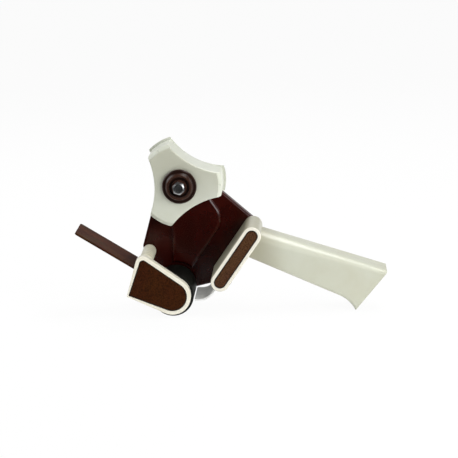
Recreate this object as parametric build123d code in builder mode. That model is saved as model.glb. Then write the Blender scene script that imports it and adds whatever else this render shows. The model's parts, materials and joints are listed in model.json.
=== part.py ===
from build123d import *
from math import atan2, cos, hypot, pi, radians, sin, tan
import os

os.makedirs("parts", exist_ok=True)

# Driving dimensions, in millimetres.
# X runs back along the handle, Y runs across the tape from the open side to the side plate, Z is up.
# The dispenser stands on its rubber roller and on the tip of the handle's butt, both at Z = 0.

# Axes across the tape, seen from the side
roller_x = -53.0
hub_x = -43.7
hub_z = 117.6
guide_x = -76.3
guide_z = 50.8
pin_x = -79.4
pin_z = 36.5
block_top_x = 19.3
block_top_z = 71.9
block_low_x = -10.2
block_low_z = 30.7

# Room between the side plate and the end plate, both measured from the tape's middle
half_gap = 26.0
running_clearance = 0.05
fixed_clearance = 0.1
side_clearance = 0.4

# Side plate: a pan of painted sheet with a raised teardrop panel
plate_sheet = 1.5
plate_rim_depth = 10.0
plate_edge_round = 2.0
plate_hub_radius = 13.0
plate_block_top_radius = 4.9
plate_block_low_radius = 9.8
plate_axle_radius = 7.4
plate_shoulder_x = -56.2
plate_shoulder_z = 110.0
plate_shoulder_radius = 10.0
plate_nose_x = -84.0
plate_nose_z = 27.0
plate_nose_radius = 6.5
plate_notch_x = -102.7
plate_notch_z = 50.4
plate_notch_radius = 20.5
emboss_height = 3.6
emboss_round = 3.3
emboss_hub_radius = 10.8
emboss_shoulder_x = -28.8
emboss_shoulder_z = 79.0
emboss_shoulder_radius = 19.1
emboss_tail_x = -51.6
emboss_tail_z = 20.5
emboss_tail_radius = 4.6
emboss_roller_gap = 1.9

# Tape hub with three lobes, for a core of 76 mm bore
hub_radius = 38.0
hub_length = 39.0
hub_front = -20.5
hub_lobe_angle = 0.0
hub_lobe_half_angle = 16.4
hub_waist_radius = 22.5
hub_wall = 2.8
hub_rib = 2.0
hub_corner_round = 2.0
hub_edge_round = 1.6
hub_lead = 3.5
hub_lead_length = 4.5
hub_lip = 2.0
hub_lip_width = 2.4
hub_boss_radius = 13.0
hub_recess_radius = 10.2
hub_recess_depth = 13.6
hub_lobes = 3

# Hub axle and brake
axle_radius = 4.0
axle_thread_radius = 3.0
axle_end_chamfer = 0.4
axle_collar_radius = 8.4
axle_collar_width = 2.0
brake_disc_radius = 10.2
brake_disc_width = 1.5
brake_gap = 0.1
washer_radius = 9.7
washer_width = 1.5
brake_spring_radius = 7.0
brake_spring_wire = 0.6
brake_spring_turns = 4
lock_nut_flats = 13.0
lock_nut_height = 5.0

# Brake knob
knob_gap = 1.5
knob_flange_radius = 15.4
knob_flange_width = 2.4
knob_radius = 11.8
knob_height = 6.4
knob_dish_radius = 9.1
knob_dish_depth = 3.4
knob_boss_radius = 9.1
knob_pad_radius = 6.7
knob_pad_height = 3.0
knob_edge_round = 0.8
knob_nut_flats = 10.0
knob_nut_height = 9.0
knob_nut_seat = 1.0
knob_nut_turn = 40.0
knob_nut_face = 4.1
axle_end_below_nut = 0.6

# Rubber roller
roller_radius = 18.6
roller_end_gap = 2.0
tyre_wall = 4.6
core_wall = 2.0
core_hub_radius = 8.4
core_web = 4.0
bush_radius = 6.0
bush_length = 11.0
bush_flange_radius = 8.4
roller_stud_radius = 3.0
roller_nut_flats = 10.0
roller_nut_height = 3.2

# Guide roller
guide_radius = 6.1
guide_end_gap = 2.3
guide_boss_radius = 3.9
guide_axle_radius = 2.0
guide_rib_count = 7
guide_rib_depth = 0.8
guide_rib_slope = 0.2
clip_radius = 3.1
clip_width = 1.0
pin_overhang = 1.8

# End plate, end cover and its inlay
end_plate_sheet = 2.0
cover_depth = 8.4
cover_round_rise = 1.4
cover_round_radius = 16.5
cover_top_x = -77.9
cover_top_z = 50.3
cover_top_radius = 6.9
cover_nose_x = -92.8
cover_nose_z = 21.4
cover_nose_radius = 0.8
cover_nose_spread = 1.37
inlay_nose_spread = 0.55
cover_wall = 1.9
cover_front_wall = 2.8
cover_rim = 3.3
cover_edge_round = 0.7
inlay_depth = 1.5
inlay_thickness = 1.0
inlay_gap = 0.15
cover_screw_places = [(-67.0, 41.8), (-74.4, 20.9)]
cover_boss_radius = 3.4
flat_head_radius = 3.0
small_screw_radius = 1.5
screw_head_taper = 20.0

# Blade and its bar
blade_inset_across = 2.0
blade_inset_up = 1.4
blade_lean = 11.9
blade_width = 48.0
blade_height = 18.6
blade_thickness = 1.0
blade_tooth_pitch = 2.0
blade_tooth_depth = 2.0
blade_screw_height = 8.6
blade_screw_spread = 19.0
bar_low = 5.2
bar_top = 12.0
bar_depth = 10.9
bar_upstand = 1.5
bar_screw_radius = 2.0
bar_screw_depth = 11.0
pan_head_radius = 3.4
pan_head_height = 2.2
pan_head_side = 0.55
pan_head_crown = 0.7

# Flap and its torsion spring
flap_pitch = 32.6
flap_length = 72.2
flap_width = 43.7
flap_thickness = 2.0
flap_rise = 1.4
flap_corner = 2.8
flap_edge_round = 0.5
flap_knuckle_radius = 3.7
flap_spring_room = 11.2
flap_pin_radius = 2.0
flap_stop_gap = 0.15
flap_spring_radius = 4.0
flap_spring_wire = 0.5
flap_spring_turns = 4
flap_spring_pitch = 1.5
flap_spring_leg = 11.2
flap_spring_tail = 8.8
flap_spring_clearance = 0.8

# Guide plate between the roller and the handle block
guide_plate_width = 48.0
guide_plate_sheet = 1.5
guide_plate_z = 14.4
guide_plate_gap = 1.2
guide_plate_bend = 14.0
guide_plate_depth = 5.1
guide_screw_spread = 26.0
guide_screw_up = 1.9

# Handle block and handle, in two halves
block_radius = 8.4
block_front = -28.8
block_wall = 2.8
block_end_wall = 3.7
block_solid_end = 11.2
block_edge_round = 1.1
block_inlay_rim = 2.9
block_inlay_depth = 1.4
block_inlay_thickness = 1.0
block_screw_radius = 2.0
block_screw_reach = 14.0
block_screw_top = 9.3
block_screw_low = 20.5
grip_width = 37.2
grip_wall = 2.4
grip_top_ahead = 1.2
grip_top_rise = 4.2
grip_front_depth = 21.2
grip_heel_x = 140.0
grip_heel_z = 34.8
grip_tip_x = 110.1
grip_flare_x = 96.2
grip_flare_z = 13.7
grip_front_round = 13.5
grip_rear_round = 3.3
grip_low_round = 2.8
grip_heel_round = 1.0
grip_screw_places = [0.2, 0.5, 0.8]
grip_boss_radius = 4.7
grip_head_depth = 7.4
grip_section_overrun = 11.0
grip_screw_reach = 11.0

# Values worked out from the driving dimensions
roller_z = roller_radius
roller_half = half_gap - roller_end_gap
guide_half = half_gap - guide_end_gap
plate_back = half_gap + plate_sheet
plate_rim = half_gap + plate_rim_depth
emboss_face = half_gap - emboss_height
end_plate_back = -half_gap - end_plate_sheet
cover_front = -half_gap - cover_depth
toward_viewer = (0, -1, 0)


def at_depth(y):
    # Upright sketch plane across the tape, with X to the right and Z up
    return Plane.XZ.offset(-y)


def hull_of(circles, y, cut=None):
    # Outline drawn tight around a few circles of x, z and radius, less a cut circle if there is one
    with BuildSketch(at_depth(y)) as outline:
        for x, z, radius in circles:
            with Locations((x, z)):
                Circle(radius)
        make_hull()
        if cut is not None:
            with Locations((cut[0], cut[1])):
                Circle(cut[2], mode=Mode.SUBTRACT)
    return outline.sketch


def turned(points, x, z):
    # Solid turned about an axis across the tape at x and z, from points of radius and depth
    with BuildPart() as body:
        with BuildSketch(Plane((x, 0, z))):
            with BuildLine():
                Polyline(*points, close=True)
            make_face()
        revolve(axis=Axis((x, 0, z), (0, 1, 0)))
    return body.part


def rod(x, z, radius, y_far, y_near):
    return turned([(0, y_near), (radius, y_near), (radius, y_far), (0, y_far)], x, z)


def ring(x, z, radius, bore, y_far, y_near):
    return turned([(bore, y_near), (radius, y_near), (radius, y_far), (bore, y_far)], x, z)


def hex_nut(x, z, flats, bore, y_far, y_near, turn=30, face=None):
    # Hexagon nut chamfered at both ends and turned about its axis, with a near face of the radius given
    corner = flats / 2 / cos(pi / 6)
    near_face = flats / 2 if face is None else face
    near_chamfer = (corner - near_face) * tan(pi / 6)
    far_chamfer = (corner - flats / 2) * tan(pi / 6)
    cone = [
        (0, y_near),
        (near_face, y_near),
        (corner, y_near + near_chamfer),
        (corner, y_far - far_chamfer),
        (flats / 2, y_far),
        (0, y_far),
    ]
    with BuildPart() as nut:
        with BuildSketch(at_depth(y_far)):
            with Locations((x, z)):
                RegularPolygon(flats / 2, 6, major_radius=False, rotation=turn)
        extrude(amount=y_far - y_near)
        add(turned(cone, x, z), mode=Mode.INTERSECT)
        add(rod(x, z, bore, y_far, y_near), mode=Mode.SUBTRACT)
    return nut.part


def pan_screw(x, z, radius, seat, tip):
    # Pan-head screw whose head rests on the plane Y = seat and whose shank ends at Y = tip
    outward = 1 if seat > tip else -1
    top = seat + outward * pan_head_height
    shoulder = seat + outward * pan_head_height * pan_head_side
    points = [
        (0, tip),
        (radius, tip),
        (radius, seat),
        (pan_head_radius, seat),
        (pan_head_radius, shoulder),
        (pan_head_radius * pan_head_crown, top),
        (0, top),
    ]
    return turned(points, x, z)


def flat_screw(x, z, seat, tip, clearance):
    # Countersunk screw whose head is flush with the plane Y = seat, pointing towards Y = tip
    inward = -1 if seat > tip else 1
    head = flat_head_radius + clearance
    shank = small_screw_radius + clearance
    points = [
        (0, seat),
        (head, seat),
        (shank, seat + inward * (head - shank)),
        (shank, tip),
        (0, tip),
    ]
    return turned(points, x, z)


def coil_point(x, z, radius, y_start, pitch, angle_start, angle):
    # Point of a coil about an axis across the tape, wound clockwise and away from the viewer
    turn = angle_start - angle
    return Vector(x + radius * cos(angle), y_start + pitch * turn / (2 * pi), z + radius * sin(angle))


def coil_heading(radius, pitch, angle):
    return Vector(radius * sin(angle), pitch / (2 * pi), -radius * cos(angle)).normalized()


def coil_path(x, z, radius, y_start, pitch, angle_start, sweep_angle, leg_in, leg_out):
    # Coil as pairs of tangent arcs, one pair to each half turn, with a straight leg at each end if wanted
    pairs = max(1, round(sweep_angle / pi))
    step = sweep_angle / pairs
    with BuildLine() as path:
        start = coil_point(x, z, radius, y_start, pitch, angle_start, angle_start)
        heading = coil_heading(radius, pitch, angle_start)
        if leg_in > 0:
            Line(start - heading * leg_in, start)
        for count in range(pairs):
            angle = angle_start - step * (count + 1)
            end = coil_point(x, z, radius, y_start, pitch, angle_start, angle)
            end_heading = coil_heading(radius, pitch, angle)
            chord = end - start
            both = heading + end_heading
            spread = 2 * (1 - heading.dot(end_heading))
            reach = chord.dot(both)
            lead = (-reach + (reach ** 2 + spread * chord.dot(chord)) ** 0.5) / spread
            middle = (start + heading * lead + end - end_heading * lead) / 2
            first_arc = TangentArc(start, middle, tangent=heading)
            TangentArc(middle, end, tangent=first_arc % 1)
            start = end
            heading = end_heading
        if leg_out > 0:
            Line(start, start + heading * leg_out)
    return path.wires()[0]


def least_gap(path, wire_radius, turn_length):
    # Least gap between one turn of a coil and the next, measured on points along it
    count = 400
    points = [path @ (step / count) for step in range(count + 1)]
    skip = int(count * turn_length / path.length / 2)
    distances = [
        (points[a] - points[b]).length
        for a in range(count + 1)
        for b in range(a + skip, count + 1)
    ]
    return min(distances) - 2 * wire_radius


def wire_along(path, wire_radius):
    with BuildPart() as wire:
        with BuildSketch(Plane(path @ 0, z_dir=path % 0)):
            Circle(wire_radius)
        sweep(path=path)
    return wire.part


# Side plate

plate_circles = [
    (hub_x, hub_z, plate_hub_radius),
    (plate_shoulder_x, plate_shoulder_z, plate_shoulder_radius),
    (block_top_x, block_top_z, plate_block_top_radius),
    (block_low_x, block_low_z, plate_block_low_radius),
    (roller_x, roller_z, plate_axle_radius),
    (plate_nose_x, plate_nose_z, plate_nose_radius),
]
plate_inner_circles = [(x, z, radius - plate_sheet) for x, z, radius in plate_circles]
plate_notch = (plate_notch_x, plate_notch_z, plate_notch_radius)
plate_inner_notch = (plate_notch_x, plate_notch_z, plate_notch_radius + plate_sheet)
emboss_circles = [
    (hub_x, hub_z, emboss_hub_radius),
    (emboss_shoulder_x, emboss_shoulder_z, emboss_shoulder_radius),
    (emboss_tail_x, emboss_tail_z, emboss_tail_radius),
]
emboss_inner_circles = [(x, z, radius - plate_sheet) for x, z, radius in emboss_circles]
emboss_cut = (roller_x, roller_z, roller_radius + emboss_roller_gap)
emboss_inner_cut = (roller_x, roller_z, roller_radius + emboss_roller_gap + plate_sheet)
emboss_root = half_gap + plate_sheet / 2

blade_up = (sin(radians(blade_lean)), cos(radians(blade_lean)))
blade_across = (cos(radians(blade_lean)), -sin(radians(blade_lean)))
blade_tip_x = cover_nose_x - cover_nose_radius
blade_tip_x += blade_inset_across * blade_across[0] + blade_inset_up * blade_up[0]
blade_tip_z = cover_nose_z - cover_nose_radius
blade_tip_z += blade_inset_across * blade_across[1] + blade_inset_up * blade_up[1]


def blade_point(up, across):
    # Place in the side view, from the blade's teeth up along the blade and across its thickness
    x = blade_tip_x + up * blade_up[0] + across * blade_across[0]
    z = blade_tip_z + up * blade_up[1] + across * blade_across[1]
    return (x, z)


bar_back = blade_thickness + bar_depth
bar_screw_x, bar_screw_z = blade_point((bar_low + bar_top) / 2, (blade_thickness + bar_back) / 2)

block_run = hypot(block_top_x - block_low_x, block_top_z - block_low_z)
block_along = ((block_top_x - block_low_x) / block_run, (block_top_z - block_low_z) / block_run)
block_out = (block_along[1], -block_along[0])


def block_point(along, out):
    # Place in the side view, from the block's lower end up along the block and out to its back
    x = block_low_x + along * block_along[0] + out * block_out[0]
    z = block_low_z + along * block_along[1] + out * block_out[1]
    return (x, z)


block_screw_places = [block_point(block_screw_low, 0), block_point(block_run - block_screw_top, 0)]

plate_holes = [
    (hub_x, hub_z, axle_radius + fixed_clearance),
    (roller_x, roller_z, roller_stud_radius + fixed_clearance),
    (guide_x, guide_z, guide_axle_radius + fixed_clearance),
    (pin_x, pin_z, flap_pin_radius + fixed_clearance),
    (bar_screw_x, bar_screw_z, bar_screw_radius + fixed_clearance),
]
for x, z in block_screw_places:
    plate_holes.append((x, z, block_screw_radius + fixed_clearance))

with BuildPart() as side_plate:
    extrude(hull_of(plate_circles, plate_rim, plate_notch), amount=plate_rim_depth, dir=toward_viewer)
    fillet(side_plate.faces().sort_by(Axis.Y)[0].edges(), plate_edge_round)
    extrude(
        hull_of(plate_inner_circles, plate_rim, plate_inner_notch),
        amount=plate_rim_depth - plate_sheet,
        dir=toward_viewer,
        mode=Mode.SUBTRACT,
    )
    extrude(
        hull_of(emboss_circles, emboss_root, emboss_cut),
        amount=emboss_root - emboss_face,
        dir=toward_viewer,
    )
    fillet(side_plate.faces().sort_by(Axis.Y)[0].edges(), emboss_round)
    extrude(
        hull_of(emboss_inner_circles, plate_back, emboss_inner_cut),
        amount=emboss_height,
        dir=toward_viewer,
        mode=Mode.SUBTRACT,
    )
    with BuildSketch(at_depth(plate_rim)):
        for x, z, radius in plate_holes:
            with Locations((x, z)):
                Circle(radius)
    extrude(amount=plate_rim_depth + 2 * emboss_height, mode=Mode.SUBTRACT)
side_plate.part.label = "side_plate"
export_step(side_plate.part, "parts/side_plate.step")


# Tape hub, brake and knob

collar_face = emboss_face - axle_collar_width
disc_face = collar_face - brake_disc_width
hub_bearing = disc_face - brake_gap
hub_back = hub_front + hub_length
recess_floor = hub_front + hub_recess_depth
pressure_far = recess_floor - brake_gap
pressure_near = pressure_far - washer_width
knob_back = hub_front - knob_gap
thrust_near = knob_back + knob_gap + washer_width + brake_gap
thrust_far = thrust_near + washer_width
knob_boss_face = thrust_near - brake_gap
knob_front = knob_back - knob_height
knob_dish_floor = knob_front + knob_dish_depth
knob_pad_face = knob_dish_floor - knob_pad_height
knob_nut_back = knob_pad_face + knob_nut_seat
knob_nut_front = knob_nut_back - knob_nut_height
axle_end = knob_nut_front + axle_end_below_nut


def lobed_outline(grow, tip_grow, y):
    # Three lobes with round tips on one circle, joined by hollow sides
    tip = hub_radius + tip_grow
    waist = hub_waist_radius + grow
    half = radians(hub_lobe_half_angle) + grow / hub_radius
    pitch = 2 * pi / hub_lobes
    with BuildSketch(at_depth(y)) as outline:
        with BuildLine():
            for count in range(hub_lobes):
                middle = radians(hub_lobe_angle) + count * pitch
                hollow = middle + pitch / 2
                corners = []
                for radius, angle in [
                    (tip, middle - half),
                    (tip, middle),
                    (tip, middle + half),
                    (waist, hollow),
                    (tip, middle + pitch - half),
                ]:
                    corners.append((hub_x + radius * cos(angle), hub_z + radius * sin(angle)))
                ThreePointArc(corners[0], corners[1], corners[2])
                ThreePointArc(corners[2], corners[3], corners[4])
        make_face()
    return outline.sketch


rib_reach = hub_radius - hub_wall / 2
rib_length = rib_reach - hub_recess_radius
rib_middle = (rib_reach + hub_recess_radius) / 2
lead_outer = hub_radius + hub_lip
lead_end = hub_front + hub_lead_length * (hub_lead + hub_lip) / hub_lead
lead_profile = [
    (0, hub_front),
    (hub_radius - hub_lead, hub_front),
    (lead_outer, lead_end),
    (lead_outer, hub_back),
    (0, hub_back),
]
with BuildPart() as tape_hub:
    extrude(lobed_outline(0, 0, hub_back), amount=hub_length, dir=toward_viewer)
    fillet(tape_hub.edges().filter_by(Axis.Y), hub_corner_round)
    fillet(tape_hub.faces().sort_by(Axis.Y)[0].edges(), hub_edge_round)
    add(turned(lead_profile, hub_x, hub_z), mode=Mode.INTERSECT)
    extrude(lobed_outline(0, hub_lip, hub_back), amount=hub_lip_width, dir=toward_viewer)
    extrude(
        lobed_outline(-hub_wall, -hub_wall, hub_back),
        amount=hub_length - hub_wall,
        dir=toward_viewer,
        mode=Mode.SUBTRACT,
    )
    with BuildSketch(at_depth(hub_back - hub_lip_width)):
        with Locations((hub_x, hub_z)):
            with PolarLocations(rib_middle, hub_lobes, start_angle=hub_lobe_angle):
                Rectangle(rib_length, hub_rib)
    extrude(amount=hub_length - hub_lip_width - hub_wall / 2)
    add(rod(hub_x, hub_z, hub_boss_radius, hub_bearing, hub_front + hub_wall))
    add(rod(hub_x, hub_z, hub_recess_radius, recess_floor, hub_front), mode=Mode.SUBTRACT)
    add(rod(hub_x, hub_z, axle_radius + running_clearance, hub_bearing, hub_front), mode=Mode.SUBTRACT)
tape_hub.part.label = "tape_hub"
export_step(tape_hub.part, "parts/tape_hub.step")

axle_back = emboss_face + plate_sheet + lock_nut_height
axle_profile = [
    (0, axle_end),
    (axle_thread_radius - axle_end_chamfer, axle_end),
    (axle_thread_radius, axle_end + axle_end_chamfer),
    (axle_thread_radius, pressure_near),
    (axle_radius, pressure_near),
    (axle_radius, collar_face),
    (axle_collar_radius, collar_face),
    (axle_collar_radius, emboss_face),
    (axle_radius, emboss_face),
    (axle_radius, axle_back),
    (0, axle_back),
]
with BuildPart() as hub_axle:
    add(turned(axle_profile, hub_x, hub_z))
hub_axle.part.label = "hub_axle"
export_step(hub_axle.part, "parts/hub_axle.step")

with BuildPart() as axle_lock_nut:
    add(hex_nut(hub_x, hub_z, lock_nut_flats, axle_radius, axle_back, axle_back - lock_nut_height))
axle_lock_nut.part.label = "axle_lock_nut"
export_step(axle_lock_nut.part, "parts/axle_lock_nut.step")

with BuildPart() as brake_disc:
    add(ring(hub_x, hub_z, brake_disc_radius, axle_radius + fixed_clearance, collar_face, disc_face))
brake_disc.part.label = "brake_disc"
export_step(brake_disc.part, "parts/brake_disc.step")

with BuildPart() as pressure_washer:
    add(ring(hub_x, hub_z, washer_radius, axle_radius + fixed_clearance, pressure_far, pressure_near))
pressure_washer.part.label = "pressure_washer"
export_step(pressure_washer.part, "parts/pressure_washer.step")

with BuildPart() as thrust_washer:
    add(ring(hub_x, hub_z, washer_radius, axle_thread_radius + side_clearance, thrust_far, thrust_near))
thrust_washer.part.label = "thrust_washer"
export_step(thrust_washer.part, "parts/thrust_washer.step")

brake_spring_room = pressure_near - thrust_far - 2 * brake_spring_wire - 2 * fixed_clearance
brake_spring_pitch = brake_spring_room / brake_spring_turns
brake_spring_path = coil_path(
    hub_x,
    hub_z,
    brake_spring_radius,
    thrust_far + brake_spring_wire + fixed_clearance,
    brake_spring_pitch,
    0,
    brake_spring_turns * 2 * pi,
    0,
    0,
)
brake_spring_gap = least_gap(brake_spring_path, brake_spring_wire, 2 * pi * brake_spring_radius)
print("brake spring least gap", round(brake_spring_gap, 3))
with BuildPart() as brake_spring:
    add(wire_along(brake_spring_path, brake_spring_wire))
brake_spring.part.label = "brake_spring"
export_step(brake_spring.part, "parts/brake_spring.step")

knob_profile = [
    (axle_thread_radius + side_clearance, knob_boss_face),
    (knob_boss_radius, knob_boss_face),
    (knob_boss_radius, knob_back),
    (knob_flange_radius - knob_edge_round, knob_back),
    (knob_flange_radius, knob_back - knob_edge_round),
    (knob_flange_radius, knob_back - knob_flange_width + knob_edge_round),
    (knob_flange_radius - knob_edge_round, knob_back - knob_flange_width),
    (knob_radius + knob_edge_round, knob_back - knob_flange_width),
    (knob_radius, knob_back - knob_flange_width - knob_edge_round),
    (knob_radius, knob_front + knob_edge_round),
    (knob_radius - knob_edge_round, knob_front),
    (knob_dish_radius + knob_edge_round, knob_front),
    (knob_dish_radius, knob_front + knob_edge_round),
    (knob_dish_radius, knob_dish_floor),
    (knob_pad_radius, knob_dish_floor),
    (knob_pad_radius, knob_pad_face),
    (axle_thread_radius + side_clearance, knob_pad_face),
]
with BuildPart() as tension_knob:
    add(turned(knob_profile, hub_x, hub_z))
    with BuildSketch(at_depth(knob_nut_back)):
        with Locations((hub_x, hub_z)):
            nut_pocket = knob_nut_flats / 2 + running_clearance
            RegularPolygon(nut_pocket, 6, major_radius=False, rotation=knob_nut_turn)
    extrude(amount=knob_nut_seat, mode=Mode.SUBTRACT)
tension_knob.part.label = "tension_knob"
export_step(tension_knob.part, "parts/tension_knob.step")

nut_bore = axle_thread_radius + running_clearance
with BuildPart() as knob_nut:
    nut_ends = (knob_nut_back, knob_nut_front)
    add(hex_nut(hub_x, hub_z, knob_nut_flats, nut_bore, *nut_ends, knob_nut_turn, knob_nut_face))
knob_nut.part.label = "knob_nut"
export_step(knob_nut.part, "parts/knob_nut.step")


# Rubber roller

tyre_bore = roller_radius - tyre_wall
core_bore = tyre_bore - core_wall
bush_flange_face = half_gap - side_clearance
with BuildPart() as roller_tyre:
    add(ring(roller_x, roller_z, roller_radius, tyre_bore, roller_half, -roller_half))
    fillet(roller_tyre.edges().filter_by(GeomType.CIRCLE).group_by(SortBy.RADIUS)[-1], core_wall / 2)
roller_tyre.part.label = "roller_tyre"
export_step(roller_tyre.part, "parts/roller_tyre.step")

with BuildPart() as roller_core:
    add(ring(roller_x, roller_z, tyre_bore, core_bore, roller_half, -roller_half))
    add(ring(roller_x, roller_z, core_hub_radius, bush_radius, roller_half, -roller_half))
    add(ring(roller_x, roller_z, core_bore, core_hub_radius, core_web / 2, -core_web / 2))
roller_core.part.label = "roller_core"
export_step(roller_core.part, "parts/roller_core.step")

with BuildPart() as roller_bushes:
    for side in (-1, 1):
        bush_profile = [
            (axle_radius + running_clearance, side * (roller_half - bush_length)),
            (bush_radius, side * (roller_half - bush_length)),
            (bush_radius, side * roller_half),
            (bush_flange_radius, side * roller_half),
            (bush_flange_radius, side * bush_flange_face),
            (axle_radius + running_clearance, side * bush_flange_face),
        ]
        add(turned(bush_profile, roller_x, roller_z))
roller_bushes.part.label = "roller_bushes"
export_step(roller_bushes.part, "parts/roller_bushes.step")

roller_axle_far = plate_back + roller_nut_height
roller_axle_near = end_plate_back - roller_nut_height
roller_axle_profile = [
    (0, roller_axle_near),
    (roller_stud_radius, roller_axle_near),
    (roller_stud_radius, -half_gap),
    (axle_radius, -half_gap),
    (axle_radius, half_gap),
    (roller_stud_radius, half_gap),
    (roller_stud_radius, roller_axle_far),
    (0, roller_axle_far),
]
with BuildPart() as roller_axle:
    add(turned(roller_axle_profile, roller_x, roller_z))
roller_axle.part.label = "roller_axle"
export_step(roller_axle.part, "parts/roller_axle.step")

with BuildPart() as axle_nuts:
    add(hex_nut(roller_x, roller_z, roller_nut_flats, roller_stud_radius, roller_axle_far, plate_back))
    add(hex_nut(roller_x, roller_z, roller_nut_flats, roller_stud_radius, end_plate_back, roller_axle_near))
axle_nuts.part.label = "axle_nuts"
export_step(axle_nuts.part, "parts/axle_nuts.step")


# Guide roller

guide_rib_pitch = 2 * guide_half / guide_rib_count
guide_profile = [(guide_axle_radius + running_clearance, -half_gap + side_clearance)]
guide_profile.append((guide_boss_radius, -half_gap + side_clearance))
guide_profile.append((guide_boss_radius, -guide_half))
for count in range(guide_rib_count):
    rib_start = -guide_half + count * guide_rib_pitch
    guide_profile.append((guide_radius - guide_rib_depth, rib_start))
    guide_profile.append((guide_radius, rib_start + guide_rib_pitch * guide_rib_slope))
    guide_profile.append((guide_radius, rib_start + guide_rib_pitch * (1 - guide_rib_slope)))
guide_profile.append((guide_radius - guide_rib_depth, guide_half))
guide_profile.append((guide_boss_radius, guide_half))
guide_profile.append((guide_boss_radius, half_gap - side_clearance))
guide_profile.append((guide_axle_radius + running_clearance, half_gap - side_clearance))
with BuildPart() as guide_roller:
    add(turned(guide_profile, guide_x, guide_z))
guide_roller.part.label = "guide_roller"
export_step(guide_roller.part, "parts/guide_roller.step")

clip_far = plate_back + clip_width
clip_near = end_plate_back - clip_width
with BuildPart() as guide_axle:
    add(rod(guide_x, guide_z, guide_axle_radius, clip_far + pin_overhang, clip_near - pin_overhang))
guide_axle.part.label = "guide_axle"
export_step(guide_axle.part, "parts/guide_axle.step")

with BuildPart() as guide_axle_clips:
    add(ring(guide_x, guide_z, clip_radius, guide_axle_radius, clip_far, plate_back))
    add(ring(guide_x, guide_z, clip_radius, guide_axle_radius, end_plate_back, clip_near))
guide_axle_clips.part.label = "guide_axle_clips"
export_step(guide_axle_clips.part, "parts/guide_axle_clips.step")


# End plate, end cover and inlay

nose_to_middle_x = (roller_x + cover_top_x) / 2 - cover_nose_x
nose_to_middle_z = (roller_z + cover_top_z) / 2 - cover_nose_z
nose_run = hypot(nose_to_middle_x, nose_to_middle_z)


def cover_outline(inset, y, nose_spread=cover_nose_spread):
    # Pointed outline of the end cover, drawn inside its edge by the inset and, at the nose, by its spread
    shift = inset * nose_spread / nose_run
    nose_x = cover_nose_x + nose_to_middle_x * shift
    nose_z = cover_nose_z + nose_to_middle_z * shift
    circles = [
        (roller_x, roller_z + cover_round_rise, cover_round_radius - inset),
        (cover_top_x, cover_top_z, cover_top_radius - inset),
        (nose_x, nose_z, cover_nose_radius),
    ]
    return hull_of(circles, y)


cover_inner_face = cover_front + cover_front_wall
cover_screw_tip = cover_inner_face
end_plate_holes = [
    (roller_x, roller_z, roller_stud_radius + fixed_clearance),
    (guide_x, guide_z, guide_axle_radius + fixed_clearance),
    (pin_x, pin_z, flap_pin_radius + fixed_clearance),
    (bar_screw_x, bar_screw_z, bar_screw_radius + fixed_clearance),
]
with BuildPart() as end_plate:
    end_outline = cover_outline(cover_wall + fixed_clearance, -half_gap)
    extrude(end_outline, amount=end_plate_sheet, dir=toward_viewer)
    with BuildSketch(at_depth(-half_gap)):
        for x, z, radius in end_plate_holes:
            with Locations((x, z)):
                Circle(radius)
    extrude(amount=end_plate_sheet, mode=Mode.SUBTRACT)
    for x, z in cover_screw_places:
        add(flat_screw(x, z, -half_gap, cover_screw_tip, fixed_clearance), mode=Mode.SUBTRACT)
end_plate.part.label = "end_plate"
export_step(end_plate.part, "parts/end_plate.step")

with BuildPart() as roller_cover:
    extrude(cover_outline(0, -half_gap), amount=cover_depth, dir=toward_viewer)
    fillet(roller_cover.faces().sort_by(Axis.Y)[0].edges(), cover_edge_round)
    extrude(
        cover_outline(cover_wall, -half_gap),
        amount=cover_depth - cover_front_wall,
        dir=toward_viewer,
        mode=Mode.SUBTRACT,
    )
    extrude(
        cover_outline(cover_rim, cover_front + inlay_depth, inlay_nose_spread),
        amount=inlay_depth,
        dir=toward_viewer,
        mode=Mode.SUBTRACT,
    )
    for x, z in cover_screw_places:
        add(rod(x, z, cover_boss_radius, end_plate_back, cover_inner_face))
        add(rod(x, z, small_screw_radius, end_plate_back, cover_screw_tip), mode=Mode.SUBTRACT)
roller_cover.part.label = "roller_cover"
export_step(roller_cover.part, "parts/roller_cover.step")

with BuildPart() as cover_inlay:
    extrude(
        cover_outline(cover_rim + inlay_gap, cover_front + inlay_depth, inlay_nose_spread),
        amount=inlay_thickness,
        dir=toward_viewer,
    )
cover_inlay.part.label = "cover_inlay"
export_step(cover_inlay.part, "parts/cover_inlay.step")

with BuildPart() as cover_screws:
    for x, z in cover_screw_places:
        add(flat_screw(x, z, -half_gap, cover_screw_tip, 0))
cover_screws.part.label = "cover_screws"
export_step(cover_screws.part, "parts/cover_screws.step")


# Blade and its bar

blade_plane = Plane(
    origin=(blade_tip_x, 0, blade_tip_z),
    x_dir=(0, 1, 0),
    z_dir=(blade_across[0], 0, blade_across[1]),
)
blade_teeth = round(blade_width / blade_tooth_pitch)
blade_edge = [(-blade_width / 2, blade_height), (-blade_width / 2, blade_tooth_depth)]
for count in range(blade_teeth):
    tooth_start = -blade_width / 2 + count * blade_tooth_pitch
    blade_edge.append((tooth_start + blade_tooth_pitch / 2, 0))
    blade_edge.append((tooth_start + blade_tooth_pitch, blade_tooth_depth))
blade_edge.append((blade_width / 2, blade_height))
blade_screw_places = [(side * blade_screw_spread / 2, blade_screw_height) for side in (-1, 1)]

with BuildPart() as blade:
    with BuildSketch(blade_plane):
        with BuildLine():
            Polyline(*blade_edge, close=True)
        make_face()
        with Locations(*blade_screw_places):
            Circle(small_screw_radius + fixed_clearance, mode=Mode.SUBTRACT)
    extrude(amount=blade_thickness)
blade.part.label = "blade"
export_step(blade.part, "parts/blade.step")

flap_along = (-cos(radians(flap_pitch)), sin(radians(flap_pitch)))
flap_up = (sin(radians(flap_pitch)), cos(radians(flap_pitch)))


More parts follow.
